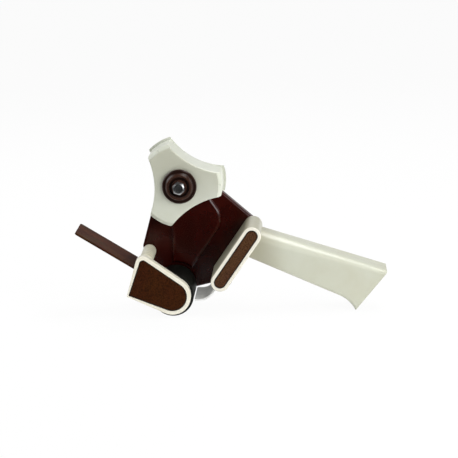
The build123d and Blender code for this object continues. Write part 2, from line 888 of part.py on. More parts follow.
def bar_stop(across):
    # Height on the bar's upstand at which it meets the flap's lower face
    base_x, base_z = blade_point(0, across)
    below = (base_x - pin_x) * flap_up[0] + (base_z - pin_z) * flap_up[1]
    rise = blade_up[0] * flap_up[0] + blade_up[1] * flap_up[1]
    return (flap_rise - flap_stop_gap - below) / rise


upstand_back = blade_thickness + bar_upstand
bar_profile = [
    blade_point(bar_low, blade_thickness),
    blade_point(bar_low, bar_back),
    blade_point(bar_top, bar_back),
    blade_point(bar_top, upstand_back),
    blade_point(bar_stop(upstand_back), upstand_back),
    blade_point(bar_stop(blade_thickness), blade_thickness),
]
with BuildPart() as blade_bar:
    with BuildSketch(at_depth(half_gap)):
        with BuildLine():
            Polyline(*bar_profile, close=True)
        make_face()
    extrude(amount=2 * half_gap)
    for side in (-1, 1):
        hole_end = side * (half_gap - bar_screw_depth)
        hole = rod(bar_screw_x, bar_screw_z, bar_screw_radius, side * half_gap, hole_end)
        add(hole, mode=Mode.SUBTRACT)
    with BuildSketch(blade_plane.offset(blade_thickness)):
        with Locations(*blade_screw_places):
            Circle(small_screw_radius)
    extrude(amount=bar_depth - blade_thickness, mode=Mode.SUBTRACT)
blade_bar.part.label = "blade_bar"
export_step(blade_bar.part, "parts/blade_bar.step")

with BuildPart() as blade_screws:
    with BuildSketch(blade_plane):
        with Locations(*blade_screw_places):
            Circle(small_screw_radius)
    extrude(amount=bar_depth - blade_thickness)
    with BuildSketch(blade_plane):
        with Locations(*blade_screw_places):
            Circle(flat_head_radius)
    extrude(amount=-small_screw_radius, taper=screw_head_taper)
blade_screws.part.label = "blade_screws"
export_step(blade_screws.part, "parts/blade_screws.step")

with BuildPart() as bar_screws:
    add(pan_screw(bar_screw_x, bar_screw_z, bar_screw_radius, plate_back, half_gap - bar_screw_depth))
    add(pan_screw(bar_screw_x, bar_screw_z, bar_screw_radius, end_plate_back, -half_gap + bar_screw_depth))
bar_screws.part.label = "bar_screws"
export_step(bar_screws.part, "parts/bar_screws.step")


# Flap and its hinge

flap_plane = Plane(
    origin=(pin_x, 0, pin_z),
    x_dir=(flap_along[0], 0, flap_along[1]),
    z_dir=(flap_up[0], 0, flap_up[1]),
)
flap_normal = Axis((pin_x, 0, pin_z), (flap_up[0], 0, flap_up[1]))
knuckle_end = half_gap - side_clearance
spring_room_radius = flap_spring_radius + flap_spring_wire + flap_spring_clearance
with BuildPart() as flap:
    with BuildSketch(flap_plane.offset(flap_rise)):
        with Locations((flap_length / 2, 0)):
            Rectangle(flap_length, flap_width)
        fillet(vertices().sort_by(Axis.X)[-2:], flap_corner)
    extrude(amount=flap_thickness)
    flap_faces = flap.faces().sort_by(flap_normal)
    fillet(flap_faces[0].edges() + flap_faces[-1].edges(), flap_edge_round)
    for side in (-1, 1):
        add(rod(pin_x, pin_z, flap_knuckle_radius, side * knuckle_end, side * flap_spring_room / 2))
    spring_space = rod(pin_x, pin_z, spring_room_radius, flap_spring_room / 2, -flap_spring_room / 2)
    add(spring_space, mode=Mode.SUBTRACT)
    add(rod(pin_x, pin_z, flap_pin_radius + running_clearance, half_gap, -half_gap), mode=Mode.SUBTRACT)
flap.part.label = "flap"
export_step(flap.part, "parts/flap.step")

with BuildPart() as flap_pin:
    add(rod(pin_x, pin_z, flap_pin_radius, clip_far + pin_overhang, clip_near - pin_overhang))
flap_pin.part.label = "flap_pin"
export_step(flap_pin.part, "parts/flap_pin.step")

with BuildPart() as flap_pin_clips:
    add(ring(pin_x, pin_z, clip_radius, flap_pin_radius, clip_far, plate_back))
    add(ring(pin_x, pin_z, clip_radius, flap_pin_radius, end_plate_back, clip_near))
flap_pin_clips.part.label = "flap_pin_clips"
export_step(flap_pin_clips.part, "parts/flap_pin_clips.step")

# The spring's first leg lies along the top of the flap, its tail hangs down the back of the blade bar
flap_spring_start = atan2(flap_up[1], flap_up[0])
flap_spring_end = atan2(blade_across[1], blade_across[0])
flap_spring_sweep = flap_spring_turns * 2 * pi + flap_spring_start - flap_spring_end
flap_spring_length = flap_spring_pitch * flap_spring_sweep / (2 * pi)
flap_spring_path = coil_path(
    pin_x,
    pin_z,
    flap_spring_radius,
    -flap_spring_length / 2,
    flap_spring_pitch,
    flap_spring_start,
    flap_spring_sweep,
    flap_spring_leg,
    flap_spring_tail,
)
flap_spring_gap = least_gap(flap_spring_path, flap_spring_wire, 2 * pi * flap_spring_radius)
print("flap spring least gap", round(flap_spring_gap, 3))
with BuildPart() as flap_spring:
    add(wire_along(flap_spring_path, flap_spring_wire))
flap_spring.part.label = "flap_spring"
export_step(flap_spring.part, "parts/flap_spring.step")


# Guide plate between the roller and the handle block

guide_bend_along = (guide_plate_z - block_low_z) / block_along[1]
guide_lip_reach = (roller_radius ** 2 - (roller_z - guide_plate_z) ** 2) ** 0.5
guide_plate_line = [
    (roller_x + guide_lip_reach + guide_plate_gap, guide_plate_z),
    block_point(guide_bend_along, 0),
    block_point(guide_plate_depth, 0),
]
guide_screw_x, guide_screw_z = block_point(guide_screw_up, block_radius)
guide_screw_plane = Plane(
    origin=(guide_screw_x, 0, guide_screw_z),
    x_dir=(0, 1, 0),
    z_dir=(block_out[0], 0, block_out[1]),
)
guide_screw_places = [(-guide_screw_spread / 2, 0), (guide_screw_spread / 2, 0)]
guide_screw_length = block_radius + block_wall

with BuildPart() as guide_plate:
    with BuildSketch(at_depth(guide_plate_width / 2)):
        with BuildLine():
            FilletPolyline(*guide_plate_line, radius=guide_plate_bend)
        trace(line_width=guide_plate_sheet)
    extrude(amount=guide_plate_width)
    with BuildSketch(guide_screw_plane):
        with Locations(*guide_screw_places):
            Circle(small_screw_radius + fixed_clearance)
    extrude(amount=-guide_screw_length, mode=Mode.SUBTRACT)
guide_plate.part.label = "guide_plate"
export_step(guide_plate.part, "parts/guide_plate.step")

with BuildPart() as guide_plate_screws:
    with BuildSketch(guide_screw_plane):
        with Locations(*guide_screw_places):
            Circle(small_screw_radius)
    extrude(amount=-guide_screw_length)
    with BuildSketch(guide_screw_plane):
        with Locations(*guide_screw_places):
            Circle(flat_head_radius)
    extrude(amount=small_screw_radius, taper=screw_head_taper)
guide_plate_screws.part.label = "guide_plate_screws"
export_step(guide_plate_screws.part, "parts/guide_plate_screws.step")


# Handle and its cross block, moulded in two halves that meet at the tape's middle

grip_top = (block_top_x + grip_top_ahead, block_top_z + grip_top_rise)
grip_bottom = block_point(block_run - grip_front_depth, 0)
grip_heel = (grip_heel_x, grip_heel_z)
grip_tip = (grip_tip_x, 0)
grip_flare = (grip_flare_x, grip_flare_z)
grip_slope = atan2(grip_heel[1] - grip_top[1], grip_heel[0] - grip_top[0])
grip_half = grip_width / 2


def grip_outline(inset, y):
    # Side view of the handle: straight back, slanted butt and a belly that flares out to the butt's tip
    belly = (grip_flare[0] - grip_bottom[0], grip_flare[1] - grip_bottom[1])
    with BuildSketch(at_depth(y)) as outline:
        with BuildLine():
            Polyline(grip_bottom, grip_top, grip_heel, grip_tip)
            Line(grip_bottom, grip_flare)
            TangentArc(grip_flare, grip_tip, tangent=belly)
        make_face()
        if inset > 0:
            offset(amount=-inset, mode=Mode.REPLACE)
        else:
            fillet(vertices().sort_by(Axis.X)[-1], grip_heel_round)
    return outline.sketch


def crown_section(x, inset, corner):
    # Cross-section of the handle's back, rounded at its two upper corners
    top = grip_top[1] + (x - grip_top[0]) * tan(grip_slope) - inset / cos(grip_slope)
    bottom = -grip_section_overrun
    with BuildSketch(Plane.YZ.offset(x)) as section:
        with Locations((0, (top + bottom) / 2)):
            Rectangle(2 * (grip_half - inset), top - bottom)
        fillet(vertices().sort_by(Axis.Y)[-2:], corner - inset)
    return section.sketch


def along_belly(edge):
    # Whether an edge runs along the handle's belly at one of its sides, behind the handle's front
    middle = edge.center()
    back = grip_top[1] + (middle.X - grip_top[0]) * tan(grip_slope)
    behind_front = grip_bottom[0] + grip_front_depth / 2 < middle.X < grip_tip[0]
    at_side = abs(middle.Y) > grip_half - grip_low_round
    return behind_front and at_side and middle.Z < back - grip_front_depth / 2


def grip_body(inset):
    # Handle solid, drawn inside its surface by the inset
    front = crown_section(grip_bottom[0] - grip_section_overrun, inset, grip_front_round)
    rear = crown_section(grip_heel[0] + grip_section_overrun, inset, grip_rear_round)
    with BuildPart() as crown:
        loft([front, rear], ruled=True)
    outline_half = grip_half + grip_section_overrun
    with BuildPart() as grip:
        extrude(grip_outline(inset, outline_half), amount=2 * outline_half, dir=toward_viewer)
        add(crown.part, mode=Mode.INTERSECT)
        if inset == 0:
            fillet(grip.edges().filter_by(along_belly), grip_low_round)
    return grip.part


block_circles = [(block_low_x, block_low_z, block_radius), (block_top_x, block_top_z, block_radius)]
hollow_low = block_point(block_solid_end, 0)
hollow_circles = [
    (hollow_low[0], hollow_low[1], block_radius - block_wall),
    (block_top_x, block_top_z, block_radius - block_wall),
]
inlay_recess_circles = [(x, z, radius - block_inlay_rim) for x, z, radius in block_circles]
inlay_circles = [(x, z, radius - inlay_gap) for x, z, radius in inlay_recess_circles]
grip_screw_points = []
for share in grip_screw_places:
    front_x = (grip_top[0] + grip_bottom[0]) / 2
    front_z = (grip_top[1] + grip_bottom[1]) / 2
    rear_x = (grip_heel[0] + grip_flare[0]) / 2
    rear_z = (grip_heel[1] + grip_flare[1]) / 2
    grip_screw_points.append((front_x + share * (rear_x - front_x), front_z + share * (rear_z - front_z)))

block_half_wall = block_wall / 2
slot_half = guide_plate_sheet / 2 + fixed_clearance
slot_corners = [
    block_point(-2 * block_radius, -slot_half),
    block_point(guide_plate_depth + fixed_clearance, -slot_half),
    block_point(guide_plate_depth + fixed_clearance, slot_half),
    block_point(-2 * block_radius, slot_half),
]
block_hollow_far = half_gap - block_end_wall
block_hollow_near = block_front + block_end_wall
with BuildPart() as handle:
    extrude(hull_of(block_circles, half_gap), amount=half_gap - block_front, dir=toward_viewer)
    fillet(handle.faces().sort_by(Axis.Y)[0].edges(), block_edge_round)
    add(grip_body(0))
    add(grip_body(grip_wall), mode=Mode.SUBTRACT)
    extrude(
        hull_of(hollow_circles, block_hollow_far),
        amount=block_hollow_far - block_hollow_near,
        dir=toward_viewer,
        mode=Mode.SUBTRACT,
    )
    for x, z in grip_screw_points:
        add(rod(x, z, grip_boss_radius, grip_half - block_half_wall, -grip_half + block_half_wall))
        add(rod(x, z, small_screw_radius, grip_half, -grip_screw_reach), mode=Mode.SUBTRACT)
        head_room = rod(x, z, pan_head_radius + fixed_clearance, grip_half, grip_half - grip_head_depth)
        add(head_room, mode=Mode.SUBTRACT)
    for x, z in block_screw_places:
        add(rod(x, z, block_radius - block_wall, block_hollow_far, block_hollow_near))
        add(rod(x, z, block_screw_radius, half_gap, -block_screw_reach), mode=Mode.SUBTRACT)
    extrude(
        hull_of(inlay_recess_circles, block_front + block_inlay_depth),
        amount=block_inlay_depth,
        dir=toward_viewer,
        mode=Mode.SUBTRACT,
    )
    with BuildSketch(at_depth(guide_plate_width / 2 + fixed_clearance)):
        with BuildLine():
            Polyline(*slot_corners, close=True)
        make_face()
    extrude(amount=guide_plate_width + 2 * fixed_clearance, mode=Mode.SUBTRACT)
    with BuildSketch(guide_screw_plane):
        with Locations(*guide_screw_places):
            Circle(small_screw_radius)
    extrude(amount=-guide_screw_length, mode=Mode.SUBTRACT)

with BuildPart() as handle_near_shell:
    add(handle.part)
    split(bisect_by=Plane.XZ, keep=Keep.TOP)
handle_near_shell.part.label = "handle_near_shell"
export_step(handle_near_shell.part, "parts/handle_near_shell.step")

with BuildPart() as handle_far_shell:
    add(handle.part)
    split(bisect_by=Plane.XZ, keep=Keep.BOTTOM)
handle_far_shell.part.label = "handle_far_shell"
export_step(handle_far_shell.part, "parts/handle_far_shell.step")

with BuildPart() as handle_screws:
    for x, z in grip_screw_points:
        add(pan_screw(x, z, small_screw_radius, grip_half - grip_head_depth, -grip_screw_reach))
handle_screws.part.label = "handle_screws"
export_step(handle_screws.part, "parts/handle_screws.step")

with BuildPart() as block_inlay:
    extrude(
        hull_of(inlay_circles, block_front + block_inlay_depth),
        amount=block_inlay_thickness,
        dir=toward_viewer,
    )
block_inlay.part.label = "block_inlay"
export_step(block_inlay.part, "parts/block_inlay.step")

with BuildPart() as block_screws:
    for x, z in block_screw_places:
        add(pan_screw(x, z, block_screw_radius, plate_back, -block_screw_reach))
block_screws.part.label = "block_screws"
export_step(block_screws.part, "parts/block_screws.step")
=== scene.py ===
import json
import math

import bmesh
import bpy
from mathutils import Matrix, Vector


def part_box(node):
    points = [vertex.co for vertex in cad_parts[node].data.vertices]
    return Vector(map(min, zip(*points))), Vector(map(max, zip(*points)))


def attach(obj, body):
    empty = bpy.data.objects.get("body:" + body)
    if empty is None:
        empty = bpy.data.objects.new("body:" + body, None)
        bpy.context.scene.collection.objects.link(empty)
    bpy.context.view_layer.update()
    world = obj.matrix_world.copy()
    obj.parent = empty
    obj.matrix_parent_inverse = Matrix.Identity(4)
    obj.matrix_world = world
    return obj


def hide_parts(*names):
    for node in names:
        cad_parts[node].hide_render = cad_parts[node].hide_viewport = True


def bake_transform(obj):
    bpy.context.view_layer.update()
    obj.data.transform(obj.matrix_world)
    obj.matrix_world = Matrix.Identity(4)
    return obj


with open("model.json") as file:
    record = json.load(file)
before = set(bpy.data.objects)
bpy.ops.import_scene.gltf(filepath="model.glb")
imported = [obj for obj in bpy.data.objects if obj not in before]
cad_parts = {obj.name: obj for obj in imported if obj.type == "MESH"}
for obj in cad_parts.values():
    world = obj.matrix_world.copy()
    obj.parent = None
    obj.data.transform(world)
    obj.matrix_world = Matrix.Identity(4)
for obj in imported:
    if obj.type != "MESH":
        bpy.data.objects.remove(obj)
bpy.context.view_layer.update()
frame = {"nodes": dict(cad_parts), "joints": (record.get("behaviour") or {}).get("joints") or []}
nodes = frame["nodes"]
joints = {joint["name"]: joint for joint in frame["joints"]}
mm = 0.001
hubAxis = Vector(joints["hub_spin"]["pos_m"])
flapAxis = Vector(joints["flap_swing"]["pos_m"])
print("frame in place,", len(nodes), "nodes")


# a socket that can stand in a sum
class Signal:
    def __init__(self, paint, socket):
        self.paint = paint
        self.socket = socket

    def maths(self, operation, *values):
        return self.paint.node("ShaderNodeMath", {"operation": operation}, dict(enumerate(values)))

    def __add__(self, other):
        return self.maths("ADD", self, other)

    def __radd__(self, other):
        return self.maths("ADD", other, self)

    def __sub__(self, other):
        return self.maths("SUBTRACT", self, other)

    def __rsub__(self, other):
        return self.maths("SUBTRACT", other, self)

    def __mul__(self, other):
        return self.maths("MULTIPLY", self, other)

    def __rmul__(self, other):
        return self.maths("MULTIPLY", other, self)

    def __abs__(self):
        return self.maths("ABSOLUTE", self)

    def root(self):
        return self.maths("SQRT", self)

    def atLeast(self, other):
        return self.maths("MAXIMUM", self, other)

    def atMost(self, other):
        return self.maths("MINIMUM", self, other)


# one material, or the world, and its nodes
class Paint:
    def __init__(self, name, kind="materials"):
        self.owner = getattr(bpy.data, kind).new(name)
        self.owner.use_nodes = True
        self.tree = self.owner.node_tree
        self.tree.nodes.clear()

    def node(self, kind, settings=None, sockets=None, out=0):
        made = self.tree.nodes.new(kind)
        for name, value in (settings or {}).items():
            setattr(made, name, value)
        for name, value in (sockets or {}).items():
            if isinstance(value, Signal):
                self.tree.links.new(value.socket, made.inputs[name])
            else:
                made.inputs[name].default_value = value
        return Signal(self, made.outputs[out])

    def place(self):
        return self.node("ShaderNodeTexCoord", out="Object")

    def axes(self, vector=None):
        split = self.node("ShaderNodeSeparateXYZ", {}, {0: vector or self.place()})
        outputs = split.socket.node.outputs
        return [Signal(self, outputs[name]) for name in "XYZ"]

    def stretched(self, scale, turn=(0, 0, 0)):
        sockets = {"Vector": self.place(), "Scale": scale, "Rotation": turn}
        return self.node("ShaderNodeMapping", {}, sockets)

    def noise(self, scale, detail, roughness, vector=None):
        grain = {"Scale": scale, "Detail": detail, "Roughness": roughness}
        return self.node("ShaderNodeTexNoise", {}, {"Vector": vector or self.place(), **grain})

    def pebbles(self, scale):
        sockets = {"Vector": self.place(), "Scale": scale}
        return self.node("ShaderNodeTexVoronoi", {"feature": "SMOOTH_F1"}, sockets)

    def span(self, value, low, high, newLow=0.0, newHigh=1.0):
        settings = {"clamp": True, "interpolation_type": "SMOOTHSTEP"}
        return self.node("ShaderNodeMapRange", settings, {0: value, 1: low, 2: high, 3: newLow, 4: newHigh})

    # noise that shows only above a level
    def patches(self, scale, detail, roughness, begin, end, most=1.0, vector=None):
        return self.span(self.noise(scale, detail, roughness, vector), begin, end, 0.0, most)

    # roughness that varies a little from place to place
    def haze(self, base, scale, detail, roughness, depth):
        return base + self.noise(scale, detail, roughness) * depth

    def mixed(self, share, first, second):
        return self.node("ShaderNodeMix", {"data_type": "RGBA"}, {0: share, 6: first, 7: second}, out=2)

    def bump(self, height, depth, strength):
        return self.node("ShaderNodeBump", {}, {"Height": height, "Distance": depth, "Strength": strength})

    # fine texture of a moulded or painted surface
    def skin(self, scale, detail, roughness, depth, strength):
        return self.bump(self.noise(scale, detail, roughness), depth, strength)

    def rays(self):
        outputs = self.node("ShaderNodeLightPath").socket.node.outputs
        return [Signal(self, outputs[f"Is {kind} Ray"]) for kind in ("Camera", "Glossy", "Transmission")]

    def finish(self, sockets):
        return self.close(self.node("ShaderNodeBsdfPrincipled", {}, sockets))

    def close(self, surface):
        kind = "World" if isinstance(self.owner, bpy.types.World) else "Material"
        output = self.tree.nodes.new("ShaderNodeOutput" + kind)
        self.tree.links.new(surface.socket, output.inputs["Surface"])
        return self.owner


def srgb(red, green, blue):
    parts = []
    for value in (red, green, blue):
        share = value / 255
        parts.append(share / 12.92 if share <= 0.04045 else ((share + 0.055) / 1.055) ** 2.4)
    return (*parts, 1.0)


# ivory mouldings: one plastic in lighter and darker copies, part by part, as painted light and shade
polish = {"Coat Weight": 0.35, "Coat Roughness": 0.14}  # shine that moulded ivory takes from the tool
hubTopShade = {  # painted shade: the front face darker towards the top
    "from": hubAxis.z - 30 * mm,
    "to": hubAxis.z + 22 * mm,
    "most": 0.5,
    "face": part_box("tape_hub")[0].y,
    "depth": 1.8 * mm,
}
ivories = {
    "hubMoulding": {
        "clean": srgb(213, 216, 203),
        "warm": srgb(207, 210, 194),
        "grimeAndShade": srgb(164, 162, 140),
        "topShade": hubTopShade,
    },
    "guideMoulding": {
        "clean": srgb(230, 227, 206),
        "warm": srgb(224, 219, 192),
        "grimeAndShade": srgb(180, 174, 146),
    },
    "coverMoulding": {
        "clean": srgb(244, 240, 224),
        "warm": srgb(238, 233, 212),
        "grimeAndShade": srgb(190, 182, 158),
    },
}


def ivoryMoulding(name, clean, warm, grimeAndShade, topShade=None):
    look = {
        "mottle": dict(scale=28, detail=4, roughness=0.6, begin=0.35, end=0.75),
        "dirt": dict(scale=75, detail=6, roughness=0.75, begin=0.62, end=0.86, most=0.35),
        "dirtDulls": 0.3,
        "haze": dict(base=0.26, scale=140, detail=5, roughness=0.7, depth=0.14),
        "skin": dict(scale=900, detail=2, roughness=0.7, depth=0.02 * mm, strength=0.5),
    }
    paint = Paint(name)
    tint = paint.mixed(paint.patches(**look["mottle"]), clean, warm)
    dirt = paint.patches(**look["dirt"])
    colour = paint.mixed(dirt, tint, grimeAndShade)
    # painted shade: the hub's front face tinted darker towards the top, in the dirt colour
    if topShade:
        _, across, upward = paint.axes()
        face = paint.span(across, topShade["face"], topShade["face"] + topShade["depth"], 1.0, 0.0)
        shadedTop = paint.span(upward, topShade["from"], topShade["to"], 0.0, topShade["most"]) * face
        colour = paint.mixed(shadedTop, colour, grimeAndShade)
    rough = paint.haze(**look["haze"]) + dirt * look["dirtDulls"]
    skin = paint.skin(**look["skin"])
    return paint.finish({"Base Color": colour, "Roughness": rough, "Normal": skin, **polish})


def handleMoulding():
    look = {
        # the handle's ivory is a darker copy of the same plastic, as painted shade
        "clean": srgb(204, 206, 189),
        "warm": srgb(197, 197, 176),
        "grimeAndShade": srgb(166, 162, 140),
        "mottle": dict(scale=22, detail=4, roughness=0.6, begin=0.35, end=0.75),
        "dirt": dict(scale=60, detail=6, roughness=0.75, begin=0.6, end=0.86, most=0.35),
        "dirtDulls": 0.3,
        "haze": dict(base=0.28, scale=120, detail=5, roughness=0.7, depth=0.16),
        "grain": dict(scale=1100, detail=2, roughness=0.7),
        "grainHeight": 0.6,  # of the seam's depth
        "relief": dict(depth=0.04 * mm, strength=0.5),
    }
    seam = {"colour": srgb(112, 108, 92), "half": 0.09 * mm, "soft": 0.12 * mm, "most": 0.8}
    litRim = {  # painted light: the front face round the end of the block made paler
        "colour": srgb(243, 238, 224),
        "start": -28.0 * mm,
        "end": -28.5 * mm,
        "most": 0.85,
    }
    blockCornerShade = {"start": 22.0 * mm, "end": 52.0 * mm, "most": 0.8}  # painted shade in the corner behind the block
    paint = Paint("handleMoulding")
    tint = paint.mixed(paint.patches(**look["mottle"]), look["clean"], look["warm"])
    dirt = paint.patches(**look["dirt"])
    worn = paint.mixed(dirt, tint, look["grimeAndShade"])
    along, across, _ = paint.axes()
    # painted shade: darker along the handle near the block
    cornerShadeShare = paint.span(along, blockCornerShade["start"], blockCornerShade["end"], blockCornerShade["most"], 0.0)
    # painted light: paler on the front face round the end of the block
    litRimShare = paint.span(across, litRim["end"], litRim["start"], 1.0, 0.0)
    line = paint.span(abs(across), seam["half"], seam["half"] + seam["soft"], 1.0, 0.0)
    cornerShaded = paint.mixed(cornerShadeShare * (1 - litRimShare), worn, look["grimeAndShade"])
    litRimmed = paint.mixed(litRimShare * litRim["most"], cornerShaded, litRim["colour"])
    colour = paint.mixed(line * seam["most"], litRimmed, seam["colour"])
    rough = paint.haze(**look["haze"]) + dirt * look["dirtDulls"]
    skin = paint.bump(paint.noise(**look["grain"]) * look["grainHeight"] - line, **look["relief"])
    return paint.finish({"Base Color": colour, "Roughness": rough, "Normal": skin, **polish})


def platePaint():
    look = {
        "deep": srgb(42, 4, 0),
        "light": srgb(57, 7, 1),
        "scuff": srgb(80, 36, 24),
        "mottle": dict(scale=35, detail=4, roughness=0.6, begin=0.3, end=0.75),
        "scuffs": dict(scale=60, detail=8, roughness=0.8, begin=0.68, end=0.82, most=0.18),
        "scuffRun": dict(scale=(1, 1, 14), turn=(0, 0.6, 0)),  # far longer than they are high
        "scuffDulls": 0.5,
        "haze": dict(base=0.17, scale=90, detail=5, roughness=0.7, depth=0.1),
        "peel": dict(scale=520, detail=2, roughness=0.5, depth=0.03 * mm, strength=0.4),
        "specular": 0.4,
    }
    paint = Paint("platePaint")
    base = paint.mixed(paint.patches(**look["mottle"]), look["deep"], look["light"])
    scuffs = paint.patches(vector=paint.stretched(**look["scuffRun"]), **look["scuffs"])
    return paint.finish({
        "Base Color": paint.mixed(scuffs, base, look["scuff"]),
        "Roughness": paint.haze(**look["haze"]) + scuffs * look["scuffDulls"],
        "Normal": paint.skin(**look["peel"]),
        "Specular IOR Level": look["specular"],
    })


# brown mouldings
brownGrain = {
    "mottle": dict(scale=45, detail=4, roughness=0.6, begin=0.3, end=0.7),
    "specks": dict(scale=240, detail=6, roughness=0.8, begin=0.6, end=0.85, most=0.18),
    "skin": dict(scale=1000, detail=2, roughness=0.6, depth=0.03 * mm, strength=0.5),
}


def knobMoulding():
    look = {
        "deep": srgb(31, 12, 5),
        "light": srgb(45, 20, 9),
        "dust": srgb(100, 78, 62),
        "haze": dict(base=0.24, scale=160, detail=5, roughness=0.7, depth=0.16),
        "specular": 0.4,
        **brownGrain,
    }
    rub = {  # paler rims: finger wear, and a painted highlight on the rim edges
        "colour": srgb(74, 46, 34),
        "front": 0.5 * mm,
        "back": 1.2 * mm,
        "edge": 0.7 * mm,
        "edgeMost": 0.6,
        "grain": dict(scale=130, detail=4, roughness=0.6),
    }
    low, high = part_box("tension_knob")
    radius = high.x - hubAxis.x
    paint = Paint("knobMoulding")
    base = paint.mixed(paint.patches(**look["mottle"]), look["deep"], look["light"])
    dusty = paint.mixed(paint.patches(**look["specks"]), base, look["dust"])
    along, across, upward = paint.axes()
    sideways = along - hubAxis.x
    height = upward - hubAxis.z
    fromAxis = (sideways * sideways + height * height).root()
    # paler round the rim edge and the front rim: finger wear and a painted highlight together
    edge = paint.span(fromAxis, radius - rub["edge"], radius, 0.0, rub["edgeMost"])
    rim = paint.span(across, low.y + rub["front"], low.y + rub["back"], 1.0, 0.0)
    rubbed = rim.atLeast(edge) * paint.noise(**rub["grain"])
    return paint.finish({
        "Base Color": paint.mixed(rubbed, dusty, rub["colour"]),
        "Roughness": paint.haze(**look["haze"]),
        "Normal": paint.skin(**look["skin"]),
        "Specular IOR Level": look["specular"],
    })


def flapMoulding():
    look = {
        "deep": srgb(52, 20, 7),
        "light": srgb(70, 34, 14),
        "dust": srgb(100, 72, 54),
        "green": srgb(56, 43, 23),
        "stain": dict(scale=32, detail=3, roughness=0.5, begin=0.5, end=0.7, most=0.5),
        "haze": dict(base=0.62, scale=160, detail=5, roughness=0.7, depth=0.16),
        "specular": 0.1,
        **brownGrain,
    }
    paint = Paint("flapMoulding")
    base = paint.mixed(paint.patches(**look["mottle"]), look["deep"], look["light"])
    stained = paint.mixed(paint.patches(**look["stain"]), base, look["green"])
    return paint.finish({
        "Base Color": paint.mixed(paint.patches(**look["specks"]), stained, look["dust"]),
        "Roughness": paint.haze(**look["haze"]),
        "Normal": paint.skin(**look["skin"]),
        "Specular IOR Level": look["specular"],
    })


# pebbled panels
pebbleBrowns = {
    "coverPebble": {
        "crest": srgb(69, 34, 7),
        "hollow": srgb(38, 15, 1),
        "red": srgb(67, 29, 7),
        "rub": srgb(90, 55, 26),
    },
    "stripPebble": {
        "crest": srgb(93, 63, 39),
        "hollow": srgb(53, 32, 17),
        "red": srgb(88, 56, 40),
        "rub": srgb(120, 88, 62),
    },
}


def pebbledPanel(name, crest, hollow, red, rub):
    grain = {
        "pebbles": 1150,
        "top": 0.15,  # from a pebble's middle, in pebbles
        "foot": 0.75,
        "fine": dict(scale=2600, detail=3, roughness=0.6),
        "fineHeight": 0.2,
        "mottle": dict(scale=55, detail=3, roughness=0.5, begin=0.35, end=0.65),
        "uneven": dict(scale=350, detail=2, roughness=0.5),
        "unevenShare": 0.2,
        "rubbed": dict(scale=70, detail=6, roughness=0.75, begin=0.56, end=0.8, most=0.3),
        "rough": 0.62,
        "topShines": 0.14,
        "fineDulls": 0.1,
        "relief": dict(depth=0.22 * mm, strength=0.8),
        "specular": 0.06,
    }
    paint = Paint(name)
    dome = paint.span(paint.pebbles(grain["pebbles"]), grain["top"], grain["foot"], 1.0, 0.0)
    fine = paint.noise(**grain["fine"])
    field = paint.mixed(paint.patches(**grain["mottle"]), crest, red)
    uneven = paint.noise(**grain["uneven"]) * grain["unevenShare"]
    base = paint.mixed(dome * (1 - grain["unevenShare"]) + uneven, hollow, field)
    return paint.finish({
        "Base Color": paint.mixed(paint.patches(**grain["rubbed"]) * dome, base, rub),
        "Roughness": grain["rough"] - dome * grain["topShines"] + fine * grain["fineDulls"],
        "Normal": paint.bump(dome + fine * grain["fineHeight"], **grain["relief"]),
        "Specular IOR Level": grain["specular"],
    })


def rollerRubber():
    look = {
        "black": srgb(8, 11, 8),
        "worn": srgb(17, 20, 15),
        "dust": srgb(70, 72, 64),
        "rings": dict(scale=60, detail=5, roughness=0.7),
        "ringRun": dict(scale=(1, 40, 1)),  # narrow across the tape
        "ringFrom": 0.35,
        "ringTo": 0.7,
        "ringHeight": 0.5,
        "specks": dict(scale=420, detail=6, roughness=0.8, begin=0.64, end=0.86, most=0.2),
        "grain": dict(scale=1500, detail=3, roughness=0.6),
        "relief": dict(depth=0.05 * mm, strength=0.6),
        "rough": 0.5,
        "specular": 0.22,
    }
    paint = Paint("rollerRubber")
    rings = paint.noise(vector=paint.stretched(**look["ringRun"]), **look["rings"])
    base = paint.mixed(paint.span(rings, look["ringFrom"], look["ringTo"]), look["black"], look["worn"])
    dust = paint.patches(**look["specks"])
    grain = paint.noise(**look["grain"])
    return paint.finish({
        "Base Color": paint.mixed(dust, base, look["dust"]),
        "Roughness": look["rough"] + dust,
        "Normal": paint.bump(rings * look["ringHeight"] + grain, **look["relief"]),
        "Specular IOR Level": look["specular"],
    })


# metals, with the lay of their brushing
evenLay = (1, 1, 1)
metals = {
    "plainBronze": {"light": srgb(196, 150, 96), "dark": srgb(150, 108, 66), "rough": 0.32},
    "brightPlate": {
        "light": srgb(240, 241, 239),
        "dark": srgb(220, 222, 220),
        "rough": 0.3,
        "lay": (1, 0.06, 1),
        "metal": 0.25,
    },
    "zincSteel": {"light": srgb(206, 208, 208), "dark": srgb(170, 172, 173), "rough": 0.22},
    "springSteel": {"light": srgb(150, 150, 150), "dark": srgb(112, 112, 112), "rough": 0.3},
    "bladeSteel": {
        "light": srgb(186, 188, 190),
        "dark": srgb(150, 152, 154),
        "rough": 0.2,
        "lay": (1, 0.05, 1),
    },
}


